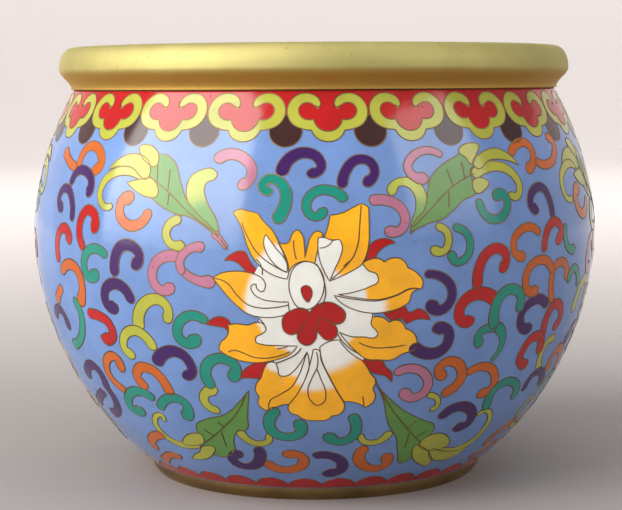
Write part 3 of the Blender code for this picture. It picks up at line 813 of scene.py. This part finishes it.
def rim_ring():
    """The rim's section: bore, round inner edge, flat top, round shoulder, band, cove and a fine bead."""
    band_low = RIM_BOTTOM + RIM_COVE
    band_high = band_low + RIM_BAND
    flat_outer = LIP_RADIUS - RIM_SHOULDER
    flat_inner = flat_outer - RIM_FLAT
    quarter = np.linspace(0, math.pi / 2, ROUND_STEPS)
    half = np.linspace(0, math.pi, COVE_STEPS)
    inner_radius = flat_inner - (flat_inner - RIM_BORE) * np.cos(quarter)
    inner_level = band_high + (RIM_TOP - band_high) * np.sin(quarter)
    outer_radius = flat_outer + RIM_SHOULDER * np.sin(quarter)
    outer_level = band_high + (RIM_TOP - band_high) * np.cos(quarter)
    cove_end = RIM_BOTTOM + 2 * RIM_BEAD
    cove_radius = RIM_ROOT + (LIP_RADIUS - RIM_ROOT) * (1 + np.cos(half)) / 2
    cove_level = band_low - (band_low - cove_end) * half / math.pi
    bead_radius = RIM_ROOT + RIM_BEAD * np.sin(half[::2])
    bead_level = RIM_BOTTOM + RIM_BEAD * (1 + np.cos(half[::2]))
    radius = np.concatenate((inner_radius, outer_radius, cove_radius, bead_radius[1:], [RIM_BORE]))
    level = np.concatenate((inner_level, outer_level, cove_level, bead_level[1:], [RIM_BOTTOM]))
    return turned("rim_ring_turned", radius, level)


def foot_ring():
    """The foot's section: flat top, slightly rounded outer side, flat underside and straight inside."""
    share = np.linspace(0, 1, ROUND_STEPS)
    radius = FOOT_OUTER - FOOT_TAPER * share + FOOT_SWELL * np.sin(math.pi * share)
    level = FOOT_TOP * (1 - share)
    radius = np.concatenate(([FOOT_INNER], radius, [FOOT_INNER]))
    level = np.concatenate(([FOOT_TOP], level, [0.0]))
    return turned("foot_ring_turned", radius, level)


trays = {name: Tray() for name in COLOURS}
wires = {name: Tray() for name, *_ in PANELS}
wires["border"] = Tray()


def lay_outline(outline, turn, squeeze, enamel, level, share, wire):
    """Fills an outline on the skin with enamel and lays a wire round it.

    share is the second colour's share, as a number or as a function of the points.
    """
    flat, faces = fill_outline(outline)
    if callable(share):
        share = share(flat)
    trays[enamel].slab(round_angle(flat, turn, squeeze), flat.imag, faces, CELL_LIFTS[level], share)
    if wire is not None:
        wire.wire(round_angle(outline, turn, squeeze), outline.imag, True, level)


def lay_ribbon(row, turn, squeeze, level, bulb_gain, wire):
    """Lays a tapered ribbon of enamel, drawn about its own middle so that it isn't sheared, and its wire."""
    enamel, wide, narrow, points = row
    line = smooth(points, False)
    angle = round_angle(line, 0.0)
    middle = (angle[0] + angle[-1]) / 2
    line = (angle - middle) * skin_radius(line.imag) + 1j * line.imag
    wide, narrow = STROKE_GAIN * wide, STROKE_GAIN * narrow
    left, right = ribbon(line, wide, narrow, bulb_gain * narrow)
    across = np.linspace(0, 1, ACROSS_STEPS + 1)
    flat = (left[:, None] + (right - left)[:, None] * across).ravel()
    turn = turn + squeeze * middle
    faces = grid_faces(len(left), ACROSS_STEPS + 1)
    trays[enamel].slab(round_angle(flat, turn), flat.imag, faces, CELL_LIFTS[level], 0.0)
    loop = np.concatenate((left, right[::-1]))
    wire.wire(round_angle(loop, turn), loop.imag, True, level)


def reach_of(points):
    """How far from the panel's middle a shape reaches."""
    return np.abs(np.real(points)).max()


def leaf_share(flat):
    """How lime each point of a small side leaf is: none at its foot, all at its top."""
    return np.clip((flat.imag - LEAF_TURN) / LEAF_BLEND, 0, 1)


def petal_share(white, yellow):
    """How yellow each point of a petal is, by its distance from the heart: none at white, all at yellow."""
    return lambda flat: np.clip((np.abs(flat - HEART_MIDDLE) - white) / (yellow - white), 0, 1)


def lay_panel(name, degrees, squeeze, reach):
    """One panel: its scrolls, leaves and lotus."""
    turn = math.radians(degrees)
    wire = wires[name]
    for number, row in enumerate(SCROLLS):
        if reach_of(row[3]) < reach:
            lay_ribbon(row, turn, squeeze, number % SCROLL_LEVELS, BULB_GAIN, wire)
    for row in HOOKS:
        lay_ribbon(row, turn, squeeze, 1, 1.0, wire)
    for enamel, level, points in LEAVES:
        share = leaf_share if enamel == "leaf" else 0.0
        lay_outline(smooth(points, True), turn, squeeze, enamel, level, share, wire)
    lay_outline(smooth(HEART, True), turn, squeeze, "white", 1, 0.0, None)
    for enamel, level, white, yellow, points in PETALS:
        share = petal_share(white, yellow) if enamel == "petal" else 0.0
        lay_outline(smooth(points, True), turn, squeeze, enamel, level, share, wire)
    lay_outline(smooth(DROP, True), turn, squeeze, "red", 4, 0.0, wire)
    for points in LINES:
        line = smooth(points, False)
        wire.wire(round_angle(line, turn, squeeze), line.imag, False, 3)


def mirrored(half):
    """The other half of an outline, back to its first point, which lies on the middle."""
    return tuple(-point.conjugate() for point in half[:0:-1])


def lay_head(turn):
    """One lappet head: its lime body and red filling, and the brown disc beside it."""
    body = smooth(HEAD_BODY + mirrored(HEAD_BODY), True)
    lay_outline(body, turn, 1.0, "lime", 1, 0.0, wires["border"])
    half = HEAD_FILL + HEAD_THROAT
    lay_outline(smooth(half + mirrored(half), True), turn, 1.0, "red", 2, 0.0, None)
    edge = smooth(mirrored(HEAD_FILL) + HEAD_FILL, False)
    wires["border"].wire(round_angle(edge, turn), edge.imag, False, 2)
    angle = np.linspace(math.radians(DISC_START), math.radians(DISC_END), DISC_POINTS)
    disc = [complex(DISC_RADIUS * math.cos(a), DISC_LEVEL + DISC_RADIUS * math.sin(a)) for a in angle]
    disc = smooth(disc + [DISC_TIP], True)
    lay_outline(disc, turn + math.pi / HEADS, 1.0, "brown", 0, 0.0, wires["border"])


def lay_strip():
    """Red strip under the rim, all the way round, behind the lappets."""
    angle = np.linspace(-math.pi, math.pi, STEPS_AROUND + 1)
    v = np.linspace(STRIP_FOOT, RUN[-1] - NECK_WIRE, BAND_ROWS)
    around, up = np.meshgrid(angle, v)
    trays["red"].slab(around.ravel(), up.ravel(), grid_faces(BAND_ROWS, len(angle)), CELL_LIFTS[0], 0.0)
    wires["border"].wire(angle[:-1], np.full(STEPS_AROUND, RUN[-1] - NECK_WIRE), True, 0)


def lay_scallops():
    """Red scalloped band over the foot: its edge is |cos| arches, raised to a power to be fuller."""
    angle = np.linspace(-math.pi, math.pi, SCALLOPS * SCALLOP_STEPS + 1)
    arch = np.abs(np.cos((angle - math.radians(SCALLOP_SHIFT)) * SCALLOPS / 2)) ** SCALLOP_FULLNESS
    top = SCALLOP_VALLEY + (SCALLOP_TOP - SCALLOP_VALLEY) * arch
    low = RUN[0] + SCALLOP_WIRE
    up = low + (top - low) * np.linspace(0, 1, BAND_ROWS)[:, None]
    around = np.broadcast_to(angle, up.shape)
    trays["red"].slab(around.ravel(), up.ravel(), grid_faces(BAND_ROWS, len(angle)), CELL_LIFTS[0], 0.0)
    wires["border"].wire(angle[:-1], top[:-1], True, 0)
    wires["border"].wire(angle[:-1], np.full(len(angle) - 1, low), True, 0)


class Thread:
    """A value in a material's node tree: sums and products of threads add the nodes that work them out."""

    def __init__(self, tree, socket):
        self.tree = tree
        self.socket = socket

    def node(self, kind, settings, inputs, output=0):
        """Adds a node: its settings first, then its sockets' values or links. Gives one of its outputs."""
        made = self.tree.nodes.new(kind)
        for name, value in settings.items():
            setattr(made, name, value)
        for name, value in inputs.items():
            if isinstance(value, Thread):
                self.tree.links.new(value.socket, made.inputs[name])
            else:
                made.inputs[name].default_value = value
        return Thread(self.tree, made.outputs[output])

    def maths(self, operation, first, second):
        """One sum, difference or product of two values or threads."""
        return self.node("ShaderNodeMath", {"operation": operation}, {0: first, 1: second})

    def __add__(self, other):
        return self.maths("ADD", self, other)

    __radd__ = __add__

    def __sub__(self, other):
        return self.maths("SUBTRACT", self, other)

    def __rsub__(self, other):
        return self.maths("SUBTRACT", other, self)

    def __mul__(self, other):
        return self.maths("MULTIPLY", self, other)

    __rmul__ = __mul__

    def between(self, low, high):
        """0 below low, 1 above high and smooth between them."""
        settings = {"interpolation_type": "SMOOTHSTEP"}
        inputs = {"Value": self, "From Min": low, "From Max": high}
        return self.node("ShaderNodeMapRange", settings, inputs)

    def noise(self, scale, detail):
        """Soft noise around one half, at a scale in waves to the metre."""
        inputs = {"Vector": self, "Scale": scale, "Detail": detail}
        return self.node("ShaderNodeTexNoise", {}, inputs, "Fac")

    def mix(self, first, second):
        """The colour first where this is 0 and second where it is 1."""
        inputs = {0: self, 6: first, 7: second}
        return self.node("ShaderNodeMix", {"data_type": "RGBA"}, inputs, 2)


def new_finish(name):
    """A material with its shader, and the place on the burner as a thread."""
    material = bpy.data.materials.new(name)
    material.use_nodes = True
    tree = material.node_tree
    shader = tree.nodes["Principled BSDF"]
    where = Thread(tree, tree.nodes.new("ShaderNodeTexCoord").outputs["Object"])
    return material, tree, shader, where


def shade(colour, factor):
    """A colour made darker or lighter, as RGBA."""
    return tuple(min(1.0, channel * factor) for channel in colour) + (1.0,)


def enamel_finish(name, colour, second=None):
    """Glass enamel: cloudy, with a few dark pinholes, softly polished by hand."""
    material, tree, shader, where = new_finish(name)
    clouds = where.noise(CLOUDS, 4.0)
    drift = where.noise(DRIFT, 2.0)
    tone = (clouds * 0.6 + drift * 0.4).between(0.36, 0.64)
    body = tone.mix(shade(colour, 0.92), shade(colour, 1.07))
    if second is not None:
        share = where.node("ShaderNodeAttribute", {"attribute_name": "share"}, {}, "Fac")
        share = (share + (clouds - 0.5) * 0.5).between(0.12, 0.88)
        body = share.mix(body, tone.mix(shade(second, 0.88), shade(second, 1.08)))
    cells = where.node("ShaderNodeTexVoronoi", {}, {"Vector": where, "Scale": PINHOLES}, "Distance")
    patches = where.noise(PINHOLE_PATCHES, 1.0).between(0.56, 0.60)
    pinholes = (1.0 - cells.between(0.06, 0.11)) * patches
    body = pinholes.mix(body, shade(colour, 0.35))
    tree.links.new(body.socket, shader.inputs["Base Color"])
    tree.links.new((0.07 + clouds * 0.08 + pinholes * 0.3).socket, shader.inputs["Roughness"])
    height = where.noise(RIPPLES, 2.0) * 0.8 - pinholes * 0.5
    bump = where.node("ShaderNodeBump", {}, {"Strength": 0.35, "Distance": 0.00012, "Height": height})
    tree.links.new(bump.socket, shader.inputs["Normal"])
    return material


def brass_finish(name, colour, roughness, worn, tarnish_and_shade_levels=None):
    """Turned satin brass: fine rings from the lathe, faint blotches and darker specks of tarnish.

    The last argument gives the levels between which a warm brown fades out upwards: partly tarnish, partly
    painted shade and painted reflection of a dark table in the hollow.
    """
    material, tree, shader, where = new_finish(name)
    shader.inputs["Metallic"].default_value = 1.0
    flat = where.node("ShaderNodeVectorMath", {"operation": "MULTIPLY"}, {0: where, 1: (1.0, 1.0, 0.0)})
    out = flat.node("ShaderNodeVectorMath", {"operation": "LENGTH"}, {0: flat}, "Value")
    level = where.node("ShaderNodeSeparateXYZ", {}, {0: where}, "Z")
    ring = out.node("ShaderNodeCombineXYZ", {}, {"X": out, "Y": level, "Z": 0.0})
    turning = ring.noise(LATHE_RINGS, 3.0)
    blotches = where.noise(BLOTCHES, 4.0)
    specks = where.noise(SPECKS, 2.0).between(0.68, 0.76)
    body = blotches.between(0.35, 0.65).mix(shade(colour, 1.0 - worn), shade(colour, 1.0 + 0.5 * worn))
    # Painted shade and painted reflection of a dark table, with some tarnish, in the rim's cove, fading out
    # upwards
    if tarnish_and_shade_levels is not None:
        tarnish_and_shade_mask = (level + (blotches - 0.5) * 0.0012).between(tarnish_and_shade_levels[1] * MM, tarnish_and_shade_levels[0] * MM)
        body = tarnish_and_shade_mask.mix(body, TARNISH_AND_SHADE_COLOUR)
    body = (specks * 0.25).mix(body, shade(colour, 0.45))
    tree.links.new(body.socket, shader.inputs["Base Color"])
    polish = roughness + (turning - 0.5) * 0.10 + (blotches - 0.5) * 0.10 + specks * 0.12
    tree.links.new(polish.socket, shader.inputs["Roughness"])
    bump = where.node("ShaderNodeBump", {}, {"Strength": 0.2, "Distance": 0.00004, "Height": turning})
    tree.links.new(bump.socket, shader.inputs["Normal"])
    return material


# The bowl and its two rings
place(bowl_body(), enamel_finish("blue_enamel", BLUE), "enamelled_bowl")
rim_finish = brass_finish("satin_rim_brass", RIM_BRASS, RIM_ROUGHNESS, RIM_WEAR, COVE_TARNISH_AND_SHADE_LEVELS)
# The foot ring's darker, warmer brass is painted shade and painted reflection
foot_finish_painted_shade = brass_finish("satin_foot_brass_painted_shade", FOOT_BRASS_PAINTED_SHADE, FOOT_ROUGHNESS, FOOT_WEAR)
place(rim_ring(), rim_finish, "rim_ring")
place(foot_ring(), foot_finish_painted_shade, "foot_ring")

# The pattern
for panel in PANELS:
    lay_panel(*panel)
for panel, number, degrees in JOINT_SCROLLS:
    level = number % SCROLL_LEVELS
    lay_ribbon(SCROLLS[number], math.radians(degrees), 1.0, level, BULB_GAIN, wires[panel])
for number in range(HEADS):
    lay_head(math.radians(HEAD_SHIFT + 360.0 * number / HEADS))
lay_strip()
lay_scallops()
for enamel, (colour, second, slot) in COLOURS.items():
    finish = enamel_finish(enamel + "_enamel", colour, second)
    place(trays[enamel].mesh(enamel + "_enamel_cells"), finish)
wire_finish = brass_finish("drawn_wire_brass", WIRE_BRASS, WIRE_ROUGHNESS, WIRE_WEAR)
for panel, tray in wires.items():
    place(tray.mesh(panel + "_wires"), wire_finish)

# Camera, as the photograph was taken
CAMERA_DISTANCE = 0.450
CAMERA_HEIGHT = 0.1035
CAMERA_SIDE = -0.001
CAMERA_PITCH = 5.92
CAMERA_ROLL = 0.33
CAMERA_LENS = 96.4
SENSOR_WIDTH = 36.0

camera_data = bpy.data.cameras.new("view")
camera_data.lens = CAMERA_LENS
camera_data.sensor_width = SENSOR_WIDTH
camera = bpy.data.objects.new("view", camera_data)
bpy.context.scene.collection.objects.link(camera)
camera.matrix_world = (
    Matrix.Translation((CAMERA_SIDE, -CAMERA_DISTANCE, CAMERA_HEIGHT))
    @ Matrix.Rotation(math.radians(90.0 - CAMERA_PITCH), 4, "X")
    @ Matrix.Rotation(math.radians(-CAMERA_ROLL), 4, "Z")
)
bpy.context.scene.camera = camera
bpy.context.scene.view_settings.view_transform = "Standard"


def spot(azimuth, distance, level):
    """A place in the studio, in metres: an azimuth that is left of the front if negative, and a height."""
    around = math.radians(azimuth)
    return Vector((distance * math.sin(around), -distance * math.cos(around), level))


def softbox(name, stand, aim, width, height, glow, colour):
    """A rectangular lamp that stands at one spot and looks at another; glow is its brightness face on."""
    data = bpy.data.lights.new(name, "AREA")
    data.shape = "RECTANGLE"
    data.size = width
    data.size_y = height
    data.energy = glow * math.pi * width * height
    data.color = colour
    lamp = bpy.data.objects.new(name, data)
    bpy.context.scene.collection.objects.link(lamp)
    lamp.location = stand
    lamp.rotation_euler = (stand - aim).to_track_quat("Z", "Y").to_euler()


def window(name, azimuth, distance, width, glow, bands, colour):
    """An upright window of bands, which are given by lower edge, upper edge and share of the glow."""
    for low, high, share in bands:
        middle = (low + high) / 2
        stand, aim = spot(azimuth, distance, middle), spot(0, 0, middle)
        softbox(name, stand, aim, width, high - low, glow * share, colour)


# Both windows grow dim towards the sill
WINDOW_BANDS = (
    (0.007, 0.103, 0.32),
    (0.103, 0.220, 0.52),
    (0.220, 0.339, 0.72),
    (0.339, 0.465, 0.88),
    (0.465, 1.600, 1.00),
)
SIDE_WINDOW_BANDS = (
    (0.16, 0.28, 0.20),
    (0.28, 0.42, 0.42),
    (0.42, 0.58, 0.64),
    (0.58, 0.76, 0.84),
    (0.76, 1.62, 1.00),
)
WARM_DAYLIGHT = (1.0, 0.99, 0.97)
COOL_DAYLIGHT = (0.97, 0.98, 1.0)
CEILING_LIGHT = (1.0, 0.99, 0.98)
WHITE_LIGHT = (1.0, 1.0, 1.0)

# Lamps that wash the wall, by azimuth and glow
BACKDROP_WASHES = ((180, 17.0), (-112, 9.0), (112, 9.0), (0, 5.5))

window("window", -59, 1.1, 1.32, 6.6, WINDOW_BANDS, WARM_DAYLIGHT)
window("side_window", 56, 1.5, 1.03, 3.1, SIDE_WINDOW_BANDS, COOL_DAYLIGHT)
softbox("ceiling", spot(0, 0, 2.1), spot(0, 0, 0), 2.4, 2.4, 0.8, CEILING_LIGHT)
for azimuth, glow in BACKDROP_WASHES:
    stand, aim = spot(azimuth, 0.6, 1.35), spot(azimuth, 2.6, 0.55)
    softbox("backdrop_wash", stand, aim, 2.0, 0.8, glow, WHITE_LIGHT)

# Floor and wall of the studio, in metres
FLOOR_RADIUS = 1.7
COVE_REACH = 0.9
COVE_HEIGHT = 0.5
WALL_HEIGHT = 1.1
FLOOR_RINGS = (0.05, 0.3, 1.0)
FLOOR_STEPS = 96
BEND_STEPS = 20
FLOOR_COLOUR = (0.300, 0.272, 0.262, 1.0)
FLOOR_ROUGHNESS = 0.7
SKY_COLOUR = (0.93, 0.95, 1.0, 1.0)
SKY_GLOW = 0.36


def studio_cove():
    """Round floor that curves up into a low wall: its profile is flat, a quarter ellipse, then upright."""
    bend = np.linspace(0, math.pi / 2, BEND_STEPS)
    outer = FLOOR_RADIUS + COVE_REACH
    radius = np.concatenate((FLOOR_RINGS, FLOOR_RADIUS + COVE_REACH * np.sin(bend), [outer]))
    level = np.concatenate((np.zeros(len(FLOOR_RINGS)), COVE_HEIGHT * (1 - np.cos(bend)), [WALL_HEIGHT]))
    angle = np.linspace(0, math.tau, FLOOR_STEPS + 1)
    x, y = np.outer(radius, np.cos(angle)), np.outer(radius, np.sin(angle))
    z = np.broadcast_to(level[:, None], x.shape)
    points = np.concatenate((np.stack((x, y, z), -1).reshape(-1, 3), [[0.0, 0.0, 0.0]]))
    start = np.arange(FLOOR_STEPS)
    centre = np.stack((np.full(FLOOR_STEPS, len(points) - 1), start, start + 1), 1)
    faces = np.concatenate((grid_faces(len(radius), FLOOR_STEPS + 1)[:, ::-1], centre))
    return surface("studio_floor", points / MM, faces)


floor_finish, _, floor_shader, _ = new_finish("pale_floor")
floor_shader.inputs["Base Color"].default_value = FLOOR_COLOUR
floor_shader.inputs["Roughness"].default_value = FLOOR_ROUGHNESS
floor_mesh = studio_cove()
floor_mesh.materials.append(floor_finish)
studio_floor = bpy.data.objects.new("studio_floor", floor_mesh)
bpy.context.scene.collection.objects.link(studio_floor)

world = bpy.data.worlds.new("studio")
bpy.context.scene.world = world
world.use_nodes = True
background = world.node_tree.nodes["Background"]
background.inputs["Color"].default_value = SKY_COLOUR
background.inputs["Strength"].default_value = SKY_GLOW
